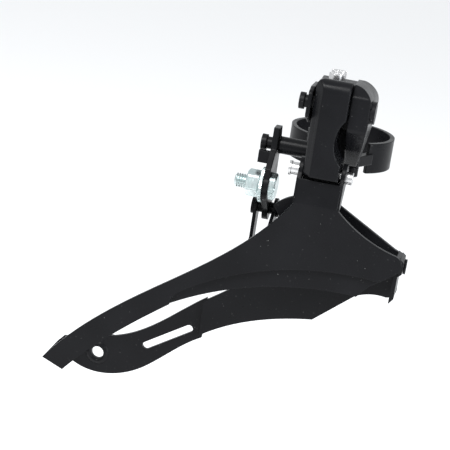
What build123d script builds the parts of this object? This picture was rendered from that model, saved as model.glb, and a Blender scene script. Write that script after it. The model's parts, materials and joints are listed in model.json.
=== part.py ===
from build123d import *
import math
import os

# Front derailleur for a 31.8 mm seat tube, conventional (down swing), cable from the top.
# Millimetres. Origin on the seat tube's axis, half way up the clamp band.
# +Z runs up the tube, +X towards the front of the bicycle, +Y inboard, towards the frame.

# ---- clamp on the seat tube ----
TUBE_R = 15.9
BAND_T = 1.5
BAND_W = 10.0
HINGE_X = 6.6
HINGE_Y = -19.6
HINGE_PIN_R = 1.1
KNUCKLE_T = 1.1
KNUCKLE_GAP = 0.25
EAR_GAP = 5.0
EAR_T = 2.6
CLAMP_BOLT_Y = 23.6
CLAMP_BOLT_R = 2.1
CLAMP_BOLT_HOLE = 0.45

# ---- four pivots of the linkage, all along X ----
P1_Y, P1_Z = -41.5, 20.8
P2_Y, P2_Z = -40.0, -1.1
P3_Y, P3_Z = -22.0, 1.2
P4_Y = P3_Y + P2_Y - P1_Y
P4_Z = P3_Z + P2_Z - P1_Z
PIN_R = 2.0
RUN = 0.06
GAP = 0.3

# ---- fixed body ----
WEB_X0, WEB_X1 = -6.4, 5.1
WEB_FRONT_Y = -35.2
WEB_BACK_Y = -20.5
WALL_T = 5.6
LEFT_EAR_T = 1.3
BOSS_R = 2.85
SADDLE_H = 14.0

# ---- outer link ----
LINK_FRONT_Y = -47.5
LINK_X0, LINK_X1 = -6.1, 4.8
LINK_WALL = 1.7
LINK_TOP_Z = 29.2

# ---- inner link and cable anchor ----
ARM_X0 = -19.6
ARM_T = 1.9
ARM_EYE_R = 4.0
ANCHOR_Y, ANCHOR_Z = -28.2, -11.3
ANCHOR_R = 2.5
WASHER_R = 5.75
WASHER_T = 1.2
NUT_AF = 8.0
NUT_T = 4.4

# ---- return spring ----
WIRE_R = 0.6
COIL_R = 3.2
COIL_TURNS = 4.5

# ---- limit screws ----
SCREW_R = 1.9
SCREW_X = -1.7
SCREW_LOW_Y, SCREW_HIGH_Y = -33.2, -27.6
SCREW_LEN = 13.0
SCREW_HEAD_R = 2.4
SCREW_HEAD_T = 1.9
SCREW_HEAD_Z = 27.4

# ---- cage ----
CAGE_T = 1.5
OUTER_Y = -47.0
STEP = 1.5
BAND_TALL = 1.5
INNER_Y = -33.0
TRAY = 4.0
CAGE_FRONT_X = 28.4
NECK_X0, NECK_X1 = -7.5, 7.2
CAGE_EAR_T = 1.4
CAGE_EAR_R = 4.3
INNER_EAR_T = 1.1
INNER_EAR_LEFT = -22.6
INNER_EAR_RIGHT = -16.3
TAIL_HOLE_R = 2.1
RIVET_R = 1.6


def on_xz(face, y0, depth):
    """A flat shape drawn as (x, z), from y0 inboard by depth."""
    return extrude(Plane.XZ.offset(-y0) * face, amount=depth, dir=(0, 1, 0))


def on_yz(face, x0, depth):
    """A flat shape drawn as (y, z), from x0 forward by depth."""
    return extrude(Plane.YZ.offset(x0) * face, amount=depth, dir=(1, 0, 0))


def on_xy(face, z0, depth):
    """A flat shape drawn as (x, y), from z0 upward by depth."""
    return extrude(Plane.XY.offset(z0) * face, amount=depth, dir=(0, 0, 1))


def rod_x(y, z, radius, x0, x1):
    return on_yz(Pos(y, z) * Circle(radius), x0, x1 - x0)


def rod_y(x, z, radius, y0, y1):
    return on_xz(Pos(x, z) * Circle(radius), y0, y1 - y0)


def rod_z(x, y, radius, z0, z1):
    return on_xy(Pos(x, y) * Circle(radius), z0, z1 - z0)


def poly(*points):
    """A closed polygon, whichever way round its points are given."""
    area = sum(a[0] * b[1] - b[0] * a[1] for a, b in zip(points, points[1:] + points[:1]))
    if area < 0:
        points = points[::-1]
    return Polygon(*points, align=None)


def rounded(points, radius):
    shape = poly(*points)
    return fillet(shape.vertices(), radius)


def save(node, shape):
    export_step(shape, os.path.join("parts", node + ".step"))


# ---------------------------------------------------------------- clamp


def ring_sector(r0, r1, start, end, z0, height):
    """Part of a ring between two angles in degrees, counted from +X towards +Y."""
    middle = (start + end) / 2

    def at(radius, angle):
        turn = math.radians(angle)
        return (radius * math.cos(turn), radius * math.sin(turn))

    edges = [
        ThreePointArc(at(r1, start), at(r1, middle), at(r1, end)),
        Line(at(r1, end), at(r0, end)),
        ThreePointArc(at(r0, end), at(r0, middle), at(r0, start)),
        Line(at(r0, start), at(r1, start)),
    ]
    return on_xy(make_face(edges), z0, height)


def hinge_knuckle(z0, height):
    radius = HINGE_PIN_R + KNUCKLE_T
    return rod_z(HINGE_X, HINGE_Y, radius, z0, z0 + height)


def clamp_ear(x0):
    """Flat ear at the back of the band that the clamp bolt crosses."""
    half = BAND_W / 2
    y0 = math.sqrt((TUBE_R + BAND_T) ** 2 - x0**2) - BAND_T
    root = poly((y0, -half), (CLAMP_BOLT_Y, -half), (CLAMP_BOLT_Y, half), (y0, half))
    return on_yz(root + Pos(CLAMP_BOLT_Y, 0) * Circle(half), x0, EAR_T)


def clamp_band_fixed():
    half = BAND_W / 2
    band = ring_sector(TUBE_R, TUBE_R + BAND_T, 97, 287, -half, BAND_W)
    third = BAND_W * 0.3
    ears = hinge_knuckle(-half, third) + hinge_knuckle(half - third, third)
    link = on_xy(rounded([(2.0, -18.4), (6.6, -21.6), (7.6, -20.4), (4.6, -15.2), (2.4, -15.9)], 0.4), -half, third)
    link += on_xy(rounded([(2.0, -18.4), (6.6, -21.6), (7.6, -20.4), (4.6, -15.2), (2.4, -15.9)], 0.4), half - third, third)
    band += ears + link + clamp_ear(-EAR_GAP / 2 - EAR_T)
    band -= rod_z(0, 0, TUBE_R, -SADDLE_H, SADDLE_H)
    band -= rod_z(HINGE_X, HINGE_Y, HINGE_PIN_R, -half, half)
    band -= rod_x(CLAMP_BOLT_Y, 0, CLAMP_BOLT_R + CLAMP_BOLT_HOLE, -12, 0)
    for z in (-3.0, 3.0):
        band -= rod_y(-2.5, z, 1.2, -20, -14)
    return band


def clamp_band_swing():
    half = BAND_W / 2
    tall = BAND_W * 0.4 - 2 * KNUCKLE_GAP
    band = ring_sector(TUBE_R, TUBE_R + BAND_T, -52, 83, -half, BAND_W)
    band += hinge_knuckle(-tall / 2, tall)
    strap = rounded([(6.8, -21.7), (8.6, -20.4), (12.4, -13.3), (10.0, -12.4), (7.2, -17.6)], 0.4)
    band += on_xy(strap, -tall / 2, tall)
    band += clamp_ear(EAR_GAP / 2)
    band -= rod_z(0, 0, TUBE_R, -SADDLE_H, SADDLE_H)
    band -= rod_z(HINGE_X, HINGE_Y, HINGE_PIN_R + RUN, -half, half)
    band -= rod_x(CLAMP_BOLT_Y, 0, CLAMP_BOLT_R + CLAMP_BOLT_HOLE, 0, 12)
    return band


def clamp_hinge_pin():
    half = BAND_W / 2
    return rod_z(HINGE_X, HINGE_Y, HINGE_PIN_R, -half, half) + rod_z(HINGE_X, HINGE_Y, HINGE_PIN_R + 0.8, half, half + 0.8)


def clamp_washer():
    face = Circle(4.8) - Circle(CLAMP_BOLT_R + RUN)
    return on_yz(Pos(CLAMP_BOLT_Y, 0) * face, -EAR_GAP / 2 - EAR_T - 1.0, 1.0)


def clamp_bolt():
    seat = -EAR_GAP / 2 - EAR_T - 1.0
    bolt = rod_x(CLAMP_BOLT_Y, 0, CLAMP_BOLT_R, seat, EAR_GAP / 2 + EAR_T + 1.0)
    head = on_yz(Pos(CLAMP_BOLT_Y, 0) * RegularPolygon(4.0, 6, major_radius=False), seat - 4.0, 4.0)
    socket = on_yz(Pos(CLAMP_BOLT_Y, 0) * RegularPolygon(2.0, 6, major_radius=False), seat - 4.0, 2.2)
    return bolt + head - socket


def band_rivets():
    rivets = [rod_y(-2.5, z, 1.2, -19.5, -math.sqrt(TUBE_R**2 - 2.5**2) - 0.2) for z in (-3.0, 3.0)]
    return Compound(children=[r.solid() if hasattr(r, "solid") else r for r in rivets])


# ---------------------------------------------------------------- fixed body


def base_member():
    """Cast body between the clamp and the linkage: web, thick right wall, thin left ear and boss."""
    side = rounded(
        [(WEB_FRONT_Y, 13.0), (WEB_FRONT_Y + 0.8, 26.6), (-26.0, 27.0), (-22.6, 20.0), (-17.0, 7.4),
         (-17.0, -6.8), (-21.4, -6.8), (-30.6, 2.4)], 1.2)
    body = on_yz(side, WEB_X0, WEB_X1 - WEB_X0)
    pocket = rounded([(WEB_FRONT_Y - 2, 14.4), (WEB_FRONT_Y - 2, 23.0), (-30.4, 23.0), (-30.4, 14.4)], 1.0)
    body -= on_yz(pocket, -4.4, 5.4)
    wall = rounded(
        [(-45.0, 14.5), (-45.0, 25.0), (-41.6, 28.6), (-30.0, 28.2), (-23.6, 21.0), (-23.2, 4.6),
         (-28.0, -2.6), (-38.6, 7.4)], 1.8)
    outline = [
        Line((WEB_X1, 1.0), (WEB_X1, 28.4)),
        ThreePointArc((WEB_X1, 28.4), (10.0, 26.2), (11.5, 20.0)),
        ThreePointArc((11.5, 20.0), (10.8, 12.0), (8.8, 1.0)),
        Line((8.8, 1.0), (WEB_X1, 1.0)),
    ]
    wall_solid = on_yz(wall, WEB_X1, 8.0)
    wall_shape = on_xz(make_face(outline), -46.0, 26.0)
    body += wall_solid & wall_shape
    ear = rounded(
        [(-45.4, 16.8), (-44.6, 24.4), (-41.0, 25.6), (-30.0, 25.4), (-28.6, 14.0), (-36.0, 13.2)], 1.6)
    body += on_yz(ear, WEB_X0 - 0.4 - LEFT_EAR_T, LEFT_EAR_T)
    body += on_yz(rounded([(WEB_FRONT_Y + 0.6, 14.6), (WEB_FRONT_Y + 0.6, 25.0), (-30.2, 25.0), (-29.4, 14.6)], 1.0),
                  WEB_X0 - 0.5, 0.6)
    body += rod_x(P3_Y, P3_Z, BOSS_R, ARM_X0 + ARM_T + GAP, WEB_X0 + 1)
    saddle = on_xy(rounded([(-10.4, -14.0), (-8.2, -19.6), (-6.4, -21.0), (2.6, -21.0), (3.6, -18.4), (3.6, -15.0)], 0.8),
                   -SADDLE_H / 2, SADDLE_H)
    body += saddle
    body -= rod_z(0, 0, TUBE_R + BAND_T, -30, 30)
    body -= on_xy(poly((1.8, -23.0), (14.0, -23.0), (14.0, -8.0), (1.8, -8.0)), -SADDLE_H, SADDLE_H + BAND_W / 2 + 2)
    body -= rod_x(P1_Y, P1_Z, PIN_R + RUN, -20, 20)
    body -= rod_x(P1_Y, P1_Z, 3.9, 11.2, 20)
    body -= rod_x(P3_Y, P3_Z, PIN_R + RUN, -30, WEB_X1 - 2)
    for y in (SCREW_LOW_Y, SCREW_HIGH_Y):
        body -= rod_z(SCREW_X, y, SCREW_R + RUN, 10, 30)
    for z in (-3.0, 3.0):
        body -= rod_y(-2.5, z, 1.2, -19.5, -14)
    return body


# ---------------------------------------------------------------- outer link


def outer_link():
    """Die-cast link: closed at the front, hollow behind for the spring coil."""
    front = [
        Line((-5.8, P2_Z - 3.6), (LINK_X0, 12.0)),
        Line((LINK_X0, 12.0), (LINK_X0, 26.0)),
        ThreePointArc((LINK_X0, 26.0), (-5.2, 28.6), (-2.6, LINK_TOP_Z)),
        Line((-2.6, LINK_TOP_Z), (LINK_X1, LINK_TOP_Z)),
        Line((LINK_X1, LINK_TOP_Z), (LINK_X1, 17.8)),
        ThreePointArc((LINK_X1, 17.8), (2.4, 10.8), (5.2, 3.6)),
        Line((5.2, 3.6), (5.5, P2_Z - 3.6)),
        Line((5.5, P2_Z - 3.6), (-5.8, P2_Z - 3.6)),
    ]
    block = on_xz(make_face(front), LINK_FRONT_Y, 12.0)
    side = [
        Line((LINK_FRONT_Y, -1.2), (LINK_FRONT_Y, 25.4)),
        ThreePointArc((LINK_FRONT_Y, 25.4), (-46.2, 28.4), (-43.4, LINK_TOP_Z)),
        Line((-43.4, LINK_TOP_Z), (-40.4, 27.6)),
        ThreePointArc((-40.4, 27.6), (-37.4, 24.4), (-36.4, 20.8)),
        Line((-36.4, 20.8), (-37.6, 12.0)),
        Line((-37.6, 12.0), (-36.4, P2_Z)),
        ThreePointArc((-36.4, P2_Z), (P2_Y, P2_Z - 3.6), (-43.6, P2_Z)),
        Line((-43.6, P2_Z), (LINK_FRONT_Y, -1.2)),
    ]
    link = block & on_yz(make_face(side), -10, 20)
    wedge = poly((LINK_X0 - 2, LINK_FRONT_Y - 1), (-3.4, LINK_FRONT_Y - 1), (-3.4, LINK_FRONT_Y), (LINK_X0, -44.4),
                    (LINK_X0 - 2, -44.4))
    link -= on_xy(wedge, -10, 45)
    hollow_front = LINK_FRONT_Y + 1.6
    cavity = on_xz(rounded([(-4.3, 3.6), (-4.3, 26.6), (3.1, 26.6), (3.1, 17.4), (1.0, 12.0), (1.0, 6.0), (3.0, 3.6)], 1.0),
                   hollow_front, 14)
    link -= cavity
    link -= rod_x(P1_Y, P1_Z, PIN_R + RUN, -20, 20)
    link -= rod_x(P2_Y, P2_Z, PIN_R + RUN, -20, 20)
    return link


# ---------------------------------------------------------------- inner link


def inner_link():
    """Flat arm beside the body: fixed pivot at the top, cage pivot below, cable lug outboard."""
    eye_top = Pos(P3_Y, P3_Z) * Circle(ARM_EYE_R)
    eye_low = Pos(P4_Y, P4_Z) * Circle(ARM_EYE_R)
    lug = Pos(ANCHOR_Y, ANCHOR_Z) * Circle(5.0)
    arm = poly(
        (P3_Y - 3.6, P3_Z + 6.0), (P3_Y + 1.6, P3_Z + 6.0), (P3_Y + 4.0, P3_Z), (P4_Y + 4.0, P4_Z),
        (P4_Y - 4.0, P4_Z), (ANCHOR_Y - 2.0, ANCHOR_Z - 4.6), (ANCHOR_Y - 5.0, ANCHOR_Z),
        (ANCHOR_Y - 3.2, ANCHOR_Z + 6.0), (P3_Y - 4.0, P3_Z - 1.0))
    link = on_yz(eye_top + eye_low + lug + arm, ARM_X0, ARM_T)
    tab = on_yz(Polygon((-26.9, -4.6), (-26.9, -0.6), (-25.2, -0.6), (-25.2, -4.6)), ARM_X0 - 3.6, 4.6)
    link += tab
    link -= rod_x(P3_Y, P3_Z, PIN_R + RUN, -30, -10)
    link -= rod_x(P4_Y, P4_Z, PIN_R + RUN, -30, -10)
    link -= rod_x(ANCHOR_Y, ANCHOR_Z, ANCHOR_R + RUN, -30, -10)
    return link


# ---------------------------------------------------------------- pivot pins


def upper_outer_pin():
    pin = rod_x(P1_Y, P1_Z, PIN_R, -10.8, 11.6)
    pin += rod_x(P1_Y, P1_Z, 3.5, 11.2, 12.8)
    return pin + rod_x(P1_Y, P1_Z, 2.6, -10.8, -9.2)


def lower_outer_pin():
    return rod_x(P2_Y, P2_Z, PIN_R, -10.6, 9.2) + rod_x(P2_Y, P2_Z, 2.3, -10.9, -10.1)


def upper_inner_pin():
    pin = rod_x(P3_Y, P3_Z, PIN_R, -23.4, WEB_X1 - 2)
    return pin + rod_x(P3_Y, P3_Z, 2.65, -23.4, -21.6)


def lower_inner_pin():
    pin = rod_x(P4_Y, P4_Z, PIN_R - RUN, INNER_EAR_LEFT - 1.0, INNER_EAR_RIGHT + INNER_EAR_T + 1.0)
    pin += rod_x(P4_Y, P4_Z, 2.8, INNER_EAR_LEFT - 1.0, INNER_EAR_LEFT)
    return pin + rod_x(P4_Y, P4_Z, 2.6, INNER_EAR_RIGHT + INNER_EAR_T, INNER_EAR_RIGHT + INNER_EAR_T + 1.0)


# ---------------------------------------------------------------- cable anchor


def cable_anchor_bolt():
    right = ARM_X0 + ARM_T
    bolt = rod_x(ANCHOR_Y, ANCHOR_Z, ANCHOR_R, -29.2, right)
    return bolt + on_yz(Pos(ANCHOR_Y, ANCHOR_Z) * RegularPolygon(4.0, 6, major_radius=False), right, 2.2)


def cable_anchor_washer():
    face = Circle(WASHER_R) - Circle(ANCHOR_R + RUN)
    return on_yz(Pos(ANCHOR_Y, ANCHOR_Z) * face, ARM_X0 - WASHER_T, WASHER_T)


def cable_anchor_nut():
    face = RegularPolygon(NUT_AF / 2, 6, major_radius=False) - Circle(ANCHOR_R + RUN)
    return on_yz(Pos(ANCHOR_Y, ANCHOR_Z) * face, ARM_X0 - WASHER_T - NUT_T, NUT_T)


# ---------------------------------------------------------------- spring, screws


def return_spring():
    """Torsion spring on the upper outer pin, one leg down the link, one on the body."""
    pitch = 2 * WIRE_R + 0.12
    height = pitch * COIL_TURNS
    path = Helix(pitch, height, COIL_R)
    section = Plane(origin=path @ 0, z_dir=path % 0) * Circle(WIRE_R)
    coil = sweep(section, path=path)
    coil = Pos(-3.4, P1_Y, P1_Z) * Rot(0, 90, 0) * coil
    return coil


def limit_screw(y):
    screw = rod_z(SCREW_X, y, SCREW_R, SCREW_HEAD_Z - SCREW_LEN, SCREW_HEAD_Z)
    head = rod_z(SCREW_X, y, SCREW_HEAD_R, SCREW_HEAD_Z, SCREW_HEAD_Z + SCREW_HEAD_T)
    slot = Pos(SCREW_X, y, SCREW_HEAD_Z + SCREW_HEAD_T) * Box(6, 0.8, 1.6)
    return screw + head - slot


# ---------------------------------------------------------------- cage


def cage_outer_plate():
    """Outboard plate: long tail, stepped lower band, folded neck with two ears."""
    ridge_start = (-39.0, -46.6)
    ridge_end = (23.3, -30.2)
    main = [
        Line((6.6, -10.0), (-6.8, -10.0)),
        Spline((-6.8, -10.0), (-22.9, -28.3), (-52.8, -51.1), (-72.2, -67.8), (-81.2, -78.3)),
        Line((-81.2, -78.3), (-74.0, -81.2)),
        Spline((-74.0, -81.2), (-62.2, -68.7), (-50.8, -58.7), (-41.4, -51.3)),
        ThreePointArc((-41.4, -51.3), (-40.6, -48.4), ridge_start),
        ThreePointArc(ridge_start, (-8.0, -32.6), ridge_end),
        Line(ridge_end, (28.0, -26.6)),
        ThreePointArc((28.0, -26.6), (29.2, -24.2), (27.1, -21.1)),
        Spline((27.1, -21.1), (17.0, -17.4), (6.6, -10.0)),
    ]
    plate = on_xz(make_face(main), OUTER_Y, CAGE_T)
    lower = [
        ThreePointArc((-41.4, -51.3), (-14.0, -40.0), (16.9, -36.7)),
        Line((16.9, -36.7), (20.3, -32.7)),
        Line((20.3, -32.7), (26.0, -28.6)),
        Line((26.0, -28.6), (23.3, -28.4)),
        ThreePointArc((23.3, -28.4), (-8.0, -30.9), (-39.4, -45.0)),
        Line((-39.4, -45.0), (-43.2, -50.6)),
        Line((-43.2, -50.6), (-41.4, -51.3)),
    ]
    plate += on_xz(make_face(lower), OUTER_Y + STEP, CAGE_T)
    neck = poly((OUTER_Y, -12.0), (OUTER_Y, -10.0), (-45.8, -2.5), (-44.4, -2.5), (-45.5, -9.8), (-45.5, -12.0))
    plate += on_yz(neck, NECK_X0 + 0.6, NECK_X1 - NECK_X0 - 1.2)
    ear = Pos(P2_Y, P2_Z) * Circle(CAGE_EAR_R)
    ear += poly((-46.6, -10.4), (-45.6, -2.5), (P2_Y - 1.0, P2_Z + 4.2), (P2_Y + 3.4, P2_Z - 2.6), (-42.6, -10.4))
    for x in (NECK_X0, NECK_X1 - CAGE_EAR_T):
        plate += on_yz(ear, x, CAGE_EAR_T)
    plate -= rod_x(P2_Y, P2_Z, PIN_R, -20, 20)
    tail = poly((-81.2, -78.3), (-74.0, -81.2), (-73.2, -80.0), (-80.3, -77.1))
    plate += on_xz(tail, OUTER_Y, INNER_Y + 1.2 - OUTER_Y)
    foot = poly((-81.2, -78.3), (-74.0, -81.2), (-71.6, -76.6), (-74.4, -74.4), (-78.6, -75.2))
    plate += on_xz(foot, INNER_Y + 1.2 - CAGE_T, CAGE_T)
    plate -= rod_y(-76.0, -77.9, RIVET_R, -40, -20)
    front = poly((CAGE_FRONT_X, -27.5), (CAGE_FRONT_X, -21.7), (CAGE_FRONT_X + 1.2, -22.6), (CAGE_FRONT_X + 1.2, -26.4))
    plate += on_xz(front, OUTER_Y + 0.3, 9.0)
    plate -= rod_x(-40.6, -25.4, RIVET_R, 20, 40)
    return plate


def cage_inner_plate():
    """Inboard plate: tray-like main panel, slotted rear section, tail lobe and front bridge."""
    panel = [
        Line((6.2, -12.2), (-8.4, -11.8)),
        Spline((-8.4, -11.8), (-11.5, -13.2), (-15.0, -16.2)),
        Line((-15.0, -16.2), (-12.1, -19.8)),
        Line((-12.1, -19.8), (-15.0, -26.5)),
        Line((-15.0, -26.5), (-22.6, -35.0)),
        Line((-22.6, -35.0), (-24.4, -46.8)),
        Line((-24.4, -46.8), (-33.0, -53.0)),
        Line((-33.0, -53.0), (-33.0, -65.2)),
        Spline((-33.0, -65.2), (-21.1, -58.3), (-6.6, -53.4), (3.4, -51.5)),
        Line((3.4, -51.5), (15.6, -40.8)),
        ThreePointArc((15.6, -40.8), (20.0, -39.2), (CAGE_FRONT_X - 3, -39.1)),
        ThreePointArc((CAGE_FRONT_X - 3, -39.1), (CAGE_FRONT_X - 0.7, -38.0), (CAGE_FRONT_X, -35.2)),
        Line((CAGE_FRONT_X, -35.2), (CAGE_FRONT_X, -25.8)),
        ThreePointArc((CAGE_FRONT_X, -25.8), (27.7, -24.2), (25.8, -23.0)),
        Line((25.8, -23.0), (6.2, -12.2)),
    ]
    plate = on_xz(make_face(panel), INNER_Y, CAGE_T)
    rear = [
        Spline((-32.0, -51.8), (-42.3, -60.2), (-54.4, -69.0), (-61.6, -72.0)),
        Spline((-61.6, -72.0), (-72.0, -74.0), (-80.0, -78.6)),
        ThreePointArc((-80.0, -78.6), (-79.0, -82.2), (-75.6, -83.4)),
        Spline((-75.6, -83.4), (-66.4, -86.0), (-52.7, -82.3), (-44.6, -76.0), (-32.0, -66.0)),
        Line((-32.0, -66.0), (-32.0, -51.8)),
    ]
    plate += on_xz(make_face(rear), INNER_Y + 1.2, CAGE_T)
    slot = Pos(-43.4, -68.4) * Rot(0, 0, 33.5) * SlotCenterToCenter(16.4, 2.6)
    plate -= on_xz(slot, INNER_Y - 5, 14)
    plate -= rod_y(-66.6, -79.0, TAIL_HOLE_R, -40, -20)
    plate -= rod_y(-76.0, -77.9, RIVET_R, -40, -20)
    bridge = poly((CAGE_FRONT_X - 1.4, -37.0), (CAGE_FRONT_X, -35.2), (CAGE_FRONT_X, -23.6), (CAGE_FRONT_X - 1.4, -22.8))
    plate += on_xz(bridge, OUTER_Y + CAGE_T + 0.2, INNER_Y - OUTER_Y - CAGE_T)
    plate -= rod_x(-40.6, -25.4, RIVET_R, 20, 40)
    eye = Pos(P4_Y, P4_Z) * Circle(3.6)
    right = eye + poly((P4_Y - 3.6, P4_Z), (P4_Y + 3.6, P4_Z), (P4_Y - 2, -34.0), (INNER_Y + 0.2, -35.0), (INNER_Y + 0.2, -26.6))
    left = Pos(P4_Y, P4_Z) * Circle(3.0)
    left += poly((P4_Y - 3.0, P4_Z), (P4_Y + 3.0, P4_Z), (P4_Y + 2, -38.0), (INNER_Y + 0.2, -45.0), (INNER_Y + 0.2, -36.6),
                    (P4_Y - 3.0, -31.0))
    plate += on_yz(right, INNER_EAR_RIGHT, INNER_EAR_T)
    plate += on_yz(left, INNER_EAR_LEFT, INNER_EAR_T)
    plate -= rod_x(P4_Y, P4_Z, PIN_R - RUN, -30, -10)
    return plate


def cage_front_rivet():
    rivet = rod_x(-40.6, -25.4, RIVET_R, CAGE_FRONT_X - 1.4, CAGE_FRONT_X + 1.2)
    return rivet + rod_x(-40.6, -25.4, 2.4, CAGE_FRONT_X + 1.2, CAGE_FRONT_X + 2.0)


def cage_tail_rivet():
    rivet = rod_y(-76.0, -77.9, RIVET_R, INNER_Y - 0.6, INNER_Y + 1.2 + CAGE_T)
    return rivet + rod_y(-76.0, -77.9, 2.4, INNER_Y + 1.2 + CAGE_T, INNER_Y + 2.2 + CAGE_T)


def main():
    os.makedirs("parts", exist_ok=True)
    save("clamp_band_fixed", clamp_band_fixed())
    save("clamp_band_swing", clamp_band_swing())
    save("clamp_hinge_pin", clamp_hinge_pin())
    save("clamp_bolt", clamp_bolt())
    save("clamp_washer", clamp_washer())
    save("band_rivets", band_rivets())
    save("base_member", base_member())
    save("outer_link", outer_link())
    save("inner_link", inner_link())
    save("upper_outer_pin", upper_outer_pin())
    save("lower_outer_pin", lower_outer_pin())
    save("upper_inner_pin", upper_inner_pin())
    save("lower_inner_pin", lower_inner_pin())
    save("cable_anchor_bolt", cable_anchor_bolt())
    save("cable_anchor_washer", cable_anchor_washer())
    save("cable_anchor_nut", cable_anchor_nut())
    save("return_spring", return_spring())
    save("limit_screw_low", limit_screw(SCREW_LOW_Y))
    save("limit_screw_high", limit_screw(SCREW_HIGH_Y))
    save("cage_outer_plate", cage_outer_plate())
    save("cage_inner_plate", cage_inner_plate())
    save("cage_front_rivet", cage_front_rivet())
    save("cage_tail_rivet", cage_tail_rivet())


main()
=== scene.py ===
import json
import math

import bmesh
import bpy
from mathutils import Matrix, Vector


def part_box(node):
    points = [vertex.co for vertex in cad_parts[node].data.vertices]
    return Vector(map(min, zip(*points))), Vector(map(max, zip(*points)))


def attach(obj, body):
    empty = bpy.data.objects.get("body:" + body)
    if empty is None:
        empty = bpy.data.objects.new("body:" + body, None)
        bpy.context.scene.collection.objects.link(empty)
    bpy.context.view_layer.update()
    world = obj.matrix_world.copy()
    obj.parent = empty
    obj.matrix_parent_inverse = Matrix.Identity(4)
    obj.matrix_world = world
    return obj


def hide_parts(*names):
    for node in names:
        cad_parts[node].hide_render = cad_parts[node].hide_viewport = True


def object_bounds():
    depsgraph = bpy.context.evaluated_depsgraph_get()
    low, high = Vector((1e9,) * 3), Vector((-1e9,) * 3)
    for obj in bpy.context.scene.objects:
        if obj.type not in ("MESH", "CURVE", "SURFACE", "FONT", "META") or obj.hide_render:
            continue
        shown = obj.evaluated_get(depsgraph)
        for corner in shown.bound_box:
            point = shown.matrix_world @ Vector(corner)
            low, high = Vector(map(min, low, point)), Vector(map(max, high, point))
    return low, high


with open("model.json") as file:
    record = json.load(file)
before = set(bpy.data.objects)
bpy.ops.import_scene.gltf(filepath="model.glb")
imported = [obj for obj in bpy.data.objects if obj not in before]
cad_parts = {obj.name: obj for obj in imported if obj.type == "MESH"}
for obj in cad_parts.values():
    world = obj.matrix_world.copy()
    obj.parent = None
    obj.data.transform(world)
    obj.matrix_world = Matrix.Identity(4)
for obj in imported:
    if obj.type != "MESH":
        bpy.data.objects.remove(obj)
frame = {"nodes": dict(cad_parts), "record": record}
nodes = frame["nodes"]
cad_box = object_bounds()

MM = 0.001

# The cable anchor and the clamp bolt are both M5, in metres
HEX = 8 * MM
HEX_CORNER = 4.45 * MM
HEX_FACE = 3.85 * MM
PITCH = 0.8 * MM
THREAD_STEP = 0.1 * MM
ANCHOR_MAJOR = 2.42 * MM
ANCHOR_CORE = 2.0 * MM
ANCHOR_HEAD = 2.2 * MM
ANCHOR_BORE = 2.44 * MM
CLAMP_MAJOR = 2.09 * MM
CLAMP_CORE = 1.7 * MM
CLAMP_HEAD = 4.0 * MM
SOCKET = 4 * MM
SOCKET_DEPTH = 2.2 * MM

# Camera
CAMERA_AT = (44.9, -477.7, 107.8)
CAMERA_AZIMUTH = 9.5
CAMERA_ELEVATION = 16.5
CAMERA_ROLL = 8.5
LENS = 116.4

# The open hole in the tail of the inner plate, and the plate's outboard face there
TAIL_HOLE = (-66.6, -31.8, -79.0)


# ---------------------------------------------------------------- camera, light and floor


def make_camera():
    """Looks at the drive side, slightly from the front of the bicycle and from above, rolled to the left."""
    azimuth = math.radians(CAMERA_AZIMUTH)
    elevation = math.radians(CAMERA_ELEVATION)
    roll = math.radians(CAMERA_ROLL)
    right = Vector((math.cos(azimuth), math.sin(azimuth), 0))
    tilt = math.sin(elevation)
    up = Vector((-math.sin(azimuth) * tilt, math.cos(azimuth) * tilt, math.cos(elevation)))
    ahead = right.cross(up) * -1
    cam_right = math.cos(roll) * right + math.sin(roll) * up
    cam_up = -math.sin(roll) * right + math.cos(roll) * up
    data = bpy.data.cameras.new("camera")
    data.sensor_width = 36
    data.lens = LENS
    camera = bpy.data.objects.new("camera", data)
    bpy.context.scene.collection.objects.link(camera)
    turn = Matrix((cam_right, cam_up, -ahead)).transposed().to_4x4()
    camera.matrix_world = Matrix.Translation(Vector(CAMERA_AT) * MM) @ turn
    bpy.context.scene.camera = camera


def area_light(name, where, target, size, power, colour=(1, 1, 1)):
    data = bpy.data.lights.new(name, "AREA")
    data.shape = "RECTANGLE"
    data.size = size[0]
    data.size_y = size[1]
    data.energy = power
    data.color = colour
    light = bpy.data.objects.new(name, data)
    bpy.context.scene.collection.objects.link(light)
    light.location = where
    light.rotation_mode = "QUATERNION"
    light.rotation_quaternion = (Vector(target) - Vector(where)).to_track_quat("-Z", "Y")


def make_studio():
    world = bpy.data.worlds.new("studio")
    world.use_nodes = True
    backdrop = world.node_tree.nodes["Background"]
    backdrop.inputs["Color"].default_value = (0.96, 0.98, 1, 1)
    backdrop.inputs["Strength"].default_value = 0.95
    bpy.context.scene.world = world
    bpy.context.scene.view_settings.view_transform = "Standard"
    middle = (-0.02, -0.02, -0.02)
    area_light("key", (-0.25, -0.45, 0.55), middle, (0.35, 0.35), 7.0)
    area_light("side", (0.60, -0.35, 0.15), middle, (0.25, 0.5), 5.0, (0.93, 0.96, 1.0))
    low = cad_box[0]
    bpy.ops.mesh.primitive_plane_add(size=6, location=(0, 0, low.z - 0.10))
    floor = bpy.context.active_object
    floor.name = "floor"
    paint = bpy.data.materials.new("floor")
    paint.use_nodes = True
    shader = paint.node_tree.nodes["Principled BSDF"]
    shader.inputs["Base Color"].default_value = (0.93, 0.93, 0.93, 1)
    shader.inputs["Roughness"].default_value = 0.9
    floor.data.materials.append(paint)


# ---------------------------------------------------------------- materials


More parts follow.
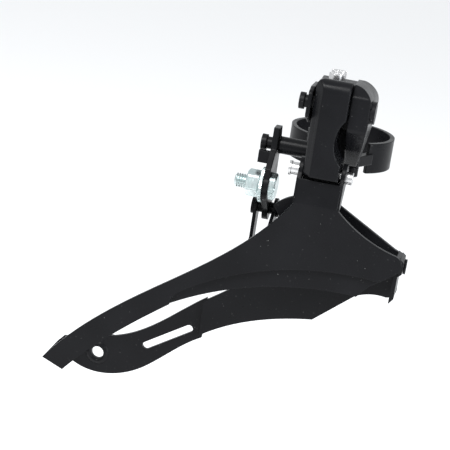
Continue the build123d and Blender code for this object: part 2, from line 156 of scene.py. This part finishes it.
class Shader:
    """A Principled material with a few noise layers, built in object space."""

    def __init__(self, name, edge=0.0002):
        self.edge = edge
        self.material = bpy.data.materials.new(name)
        self.material.use_nodes = True
        self.tree = self.material.node_tree
        self.bsdf = self.tree.nodes["Principled BSDF"]
        self.coords = self.tree.nodes.new("ShaderNodeTexCoord")

    def set(self, **values):
        for key, value in values.items():
            self.bsdf.inputs[key.replace("_", " ")].default_value = value

    def noise(self, scale, detail=3.0, stretch=(1, 1, 1)):
        mapping = self.tree.nodes.new("ShaderNodeMapping")
        mapping.inputs["Scale"].default_value = stretch
        self.tree.links.new(self.coords.outputs["Object"], mapping.inputs["Vector"])
        node = self.tree.nodes.new("ShaderNodeTexNoise")
        node.inputs["Scale"].default_value = scale
        node.inputs["Detail"].default_value = detail
        self.tree.links.new(mapping.outputs["Vector"], node.inputs["Vector"])
        return node.outputs["Fac"]

    def spread(self, value, low, high, out_low, out_high):
        node = self.tree.nodes.new("ShaderNodeMapRange")
        for key, number in (("From Min", low), ("From Max", high), ("To Min", out_low), ("To Max", out_high)):
            node.inputs[key].default_value = number
        self.tree.links.new(value, node.inputs["Value"])
        return node.outputs["Result"]

    def blend(self, factor, first, second):
        node = self.tree.nodes.new("ShaderNodeMix")
        node.data_type = "RGBA"
        self.tree.links.new(factor, node.inputs["Factor"])
        for socket, value in ((node.inputs["A"], first), (node.inputs["B"], second)):
            if isinstance(value, tuple):
                socket.default_value = value + (1,)
            else:
                self.tree.links.new(value, socket)
        return node.outputs["Result"]

    def times(self, first, second):
        node = self.tree.nodes.new("ShaderNodeMath")
        node.operation = "MULTIPLY"
        self.tree.links.new(first, node.inputs[0])
        self.tree.links.new(second, node.inputs[1])
        return node.outputs["Value"]

    def bump(self, height, strength, distance):
        node = self.tree.nodes.new("ShaderNodeBump")
        node.inputs["Strength"].default_value = strength
        node.inputs["Distance"].default_value = distance
        self.tree.links.new(height, node.inputs["Height"])
        edges = self.tree.nodes.new("ShaderNodeBevel")
        edges.samples = 8
        edges.inputs["Radius"].default_value = self.edge
        self.tree.links.new(edges.outputs["Normal"], node.inputs["Normal"])
        self.tree.links.new(node.outputs["Normal"], self.bsdf.inputs["Normal"])

    def drive(self, key, value):
        self.tree.links.new(value, self.bsdf.inputs[key])


def black_coat(name, base, rough, peel, edge=0.0005):
    """Semi-gloss black paint: orange peel, a few dust specks, slow changes of gloss."""
    shader = Shader(name, edge)
    shader.set(Specular_IOR_Level=0.09)
    cloudy = shader.noise(60, 3)
    dust = shader.spread(shader.noise(1900, 2), 0.735, 0.775, 0.0, 1.0)
    patches = shader.spread(shader.noise(150, 3), 0.42, 0.62, 0.15, 1.0)
    tint = shader.blend(shader.spread(cloudy, 0.35, 0.65, 0, 1), base, tuple(c * 1.35 for c in base))
    shader.drive("Base Color", shader.blend(shader.times(dust, patches), tint, (0.16, 0.16, 0.155)))
    shader.drive("Roughness", shader.spread(shader.noise(240, 4), 0.3, 0.7, rough - 0.05, rough + 0.06))
    shader.bump(shader.noise(900, 3), 0.25, peel)
    return shader.material


def plated(name, base, second, rough):
    """Plated steel: faint tint clouds and fine brushing."""
    shader = Shader(name)
    shader.set(Metallic=1.0)
    cloud = shader.spread(shader.noise(260, 4), 0.35, 0.65, 0, 1)
    shader.drive("Base Color", shader.blend(cloud, base, second))
    brushing = shader.noise(500, 5, (6, 1, 1))
    shader.drive("Roughness", shader.spread(brushing, 0.3, 0.7, rough - 0.08, rough + 0.1))
    shader.bump(shader.noise(1500, 4, (8, 1, 1)), 0.12, 0.00005)
    return shader.material


def paint_all():
    finish = {
        "black_paint": black_coat("pressed steel, black paint", (0.0042, 0.0043, 0.0050), 0.30, 0.00002),
        "cast_black": black_coat("cast metal, black paint", (0.0040, 0.0041, 0.0048), 0.26, 0.00003, 0.0009),
        "black_steel": black_coat("blackened steel", (0.0050, 0.0050, 0.0058), 0.34, 0.00002),
        "bright_steel": plated("nickel plate", (0.62, 0.62, 0.62), (0.48, 0.48, 0.48), 0.28),
        "zinc_steel": plated("zinc plate", (0.62, 0.67, 0.67), (0.46, 0.55, 0.55), 0.30),
        "spring_steel": plated("spring wire", (0.45, 0.45, 0.45), (0.30, 0.30, 0.30), 0.30),
    }
    for part in frame["record"]["subparts"]:
        node = nodes[part["node"]]
        node.data.materials.clear()
        node.data.materials.append(finish[part["material_slot"]])
    return finish


# ---------------------------------------------------------------- turned and threaded pieces


def hexagon(across):
    """Radius of a hexagon, across its flats, as a function of the angle."""

    def radius(station, angle):
        return across / 2 / math.cos((angle + math.pi / 6) % (math.pi / 3) - math.pi / 6)

    return radius


def capped_hexagon(across, limit):
    """A hexagon whose corners are turned off at a radius of limit."""
    flats = hexagon(across)
    return lambda station, angle: min(flats(station, angle), limit)


def thread(major, pitch, depth):
    def radius(station, angle):
        turn = (station / pitch - angle / (2 * math.pi)) % 1
        return major - depth * abs(2 * turn - 1)

    return radius


def serrated(radius, teeth, depth):
    return lambda station, angle: radius - depth * abs(2 * ((angle * teeth / (2 * math.pi)) % 1) - 1)


def turned(name, body, material, origin, axis, rows, around=48, ring=False):
    """A piece with a ring of points at each row's station along the axis; closed at both ends, or a ring."""
    axis = Vector(axis).normalized()
    side = axis.orthogonal().normalized()
    third = axis.cross(side)
    points = []
    for station, radius in rows:
        for k in range(around):
            angle = 2 * math.pi * k / around
            r = radius(station, angle) if callable(radius) else radius
            across = side * (r * math.cos(angle)) + third * (r * math.sin(angle))
            points.append(Vector(origin) + axis * station + across)
    faces = []
    loops = len(rows) if ring else len(rows) - 1
    for i in range(loops):
        a = i * around
        b = ((i + 1) % len(rows)) * around
        for k in range(around):
            n = (k + 1) % around
            faces.append((a + k, b + k, b + n, a + n))
    if not ring:
        faces.append(tuple(range(around)))
        faces.append(tuple(reversed(range((len(rows) - 1) * around, len(rows) * around))))
    mesh = bpy.data.meshes.new(name)
    mesh.from_pydata([tuple(p) for p in points], [], faces)
    mesh.validate()
    tidy = bmesh.new()
    tidy.from_mesh(mesh)
    bmesh.ops.recalc_face_normals(tidy, faces=tidy.faces)
    tidy.to_mesh(mesh)
    tidy.free()
    for face in mesh.polygons:
        face.use_smooth = True
    mesh.set_sharp_from_angle(angle=math.radians(32))
    piece = bpy.data.objects.new(name, mesh)
    bpy.context.scene.collection.objects.link(piece)
    mesh.materials.append(material)
    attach(piece, body)
    return piece


def steps(start, end, step):
    count = max(2, round(abs(end - start) / step))
    return [start + (end - start) * i / count for i in range(count + 1)]


def zinc_piece(finish, name, body, node, rows, around, ring=False):
    """A zinc-plated piece along X, from the low end of the CAD node that it replaces."""
    low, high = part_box(node)
    middle = (low + high) / 2
    if node == "cable_anchor_bolt":
        nut_low, nut_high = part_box("cable_anchor_nut")
        middle = (nut_low + nut_high) / 2
    start = (low.x, middle.y, middle.z)
    piece = turned(name, body, finish["zinc_steel"], start, (1, 0, 0), rows, around, ring)
    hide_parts(node)


def depth_of(node):
    low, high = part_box(node)
    return high.x - low.x


def thread_rows(start, end, ridges):
    return [(station, ridges) for station in steps(start, end, THREAD_STEP)]


def make_anchor(finish):
    """The cable anchor: threaded stud with a hexagonal head, chamfered nut and serrated washer."""
    flats = capped_hexagon(HEX, HEX_CORNER)
    shank = depth_of("cable_anchor_bolt") - ANCHOR_HEAD
    head_end = shank + ANCHOR_HEAD
    rows = [(0.0, ANCHOR_CORE * 0.86), (0.35 * MM, ANCHOR_CORE)]
    rows += thread_rows(0.4 * MM, shank - 0.1 * MM, thread(ANCHOR_MAJOR, PITCH, 0.42 * MM))
    rows += [(shank, ANCHOR_CORE), (shank, flats), (head_end - 0.4 * MM, flats), (head_end, 3.8 * MM)]
    zinc_piece(finish, "anchor_stud", "inner_arm", "cable_anchor_bolt", rows, 60)

    deep = depth_of("cable_anchor_nut")
    chamfer = 0.45 * MM
    rows = [(0.0, ANCHOR_BORE), (0.0, HEX_FACE), (chamfer, flats)]
    rows += [(deep - chamfer, flats), (deep, HEX_FACE), (deep, ANCHOR_BORE)]
    zinc_piece(finish, "anchor_nut", "cable_nut", "cable_anchor_nut", rows, 96, ring=True)

    low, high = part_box("cable_anchor_washer")
    deep = high.x - low.x
    outside = (high.z - low.z) / 2
    teeth = serrated(outside, 36, 0.22 * MM)
    rows = [(0.0, ANCHOR_BORE), (0.0, outside - 0.5 * MM), (0.25 * MM, teeth)]
    rows += [(deep, teeth), (deep, ANCHOR_BORE)]
    zinc_piece(finish, "anchor_washer", "cable_nut", "cable_anchor_washer", rows, 144, ring=True)


def make_clamp_bolt(finish):
    """The clamp bolt: hexagonal head with a socket, and a threaded shank."""
    length = depth_of("clamp_bolt")
    flats = capped_hexagon(HEX, HEX_CORNER)
    socket = hexagon(SOCKET)
    rows = [(SOCKET_DEPTH, socket), (0.1 * MM, socket), (0.0, 2.6 * MM), (0.0, 3.8 * MM), (0.4 * MM, flats)]
    rows += [(CLAMP_HEAD - 0.1 * MM, flats), (CLAMP_HEAD, 4.0 * MM), (CLAMP_HEAD, 2.08 * MM)]
    rows += thread_rows(4.6 * MM, length - 0.3 * MM, thread(CLAMP_MAJOR, PITCH, 0.36 * MM))
    rows.append((length, CLAMP_CORE))
    zinc_piece(finish, "clamp_cap_bolt", "clamp_screw", "clamp_bolt", rows, 60)


def make_tail_hole_rim(finish):
    """The pressed-up rim of the tail hole."""
    rows = [(0.0, 2.15 * MM), (0.5 * MM, 2.35 * MM), (0.7 * MM, 2.8 * MM), (0.5 * MM, 3.4 * MM)]
    rows += [(0.0, 4.0 * MM), (-0.2 * MM, 4.0 * MM), (-0.2 * MM, 2.15 * MM)]
    face = Vector(TAIL_HOLE) * MM
    paint = finish["black_paint"]
    turned("tail_hole_rim", "cage", paint, face, (0, -1, 0), rows, 64, ring=True)


make_camera()
make_studio()
finish = paint_all()
make_anchor(finish)
make_clamp_bolt(finish)
make_tail_hole_rim(finish)
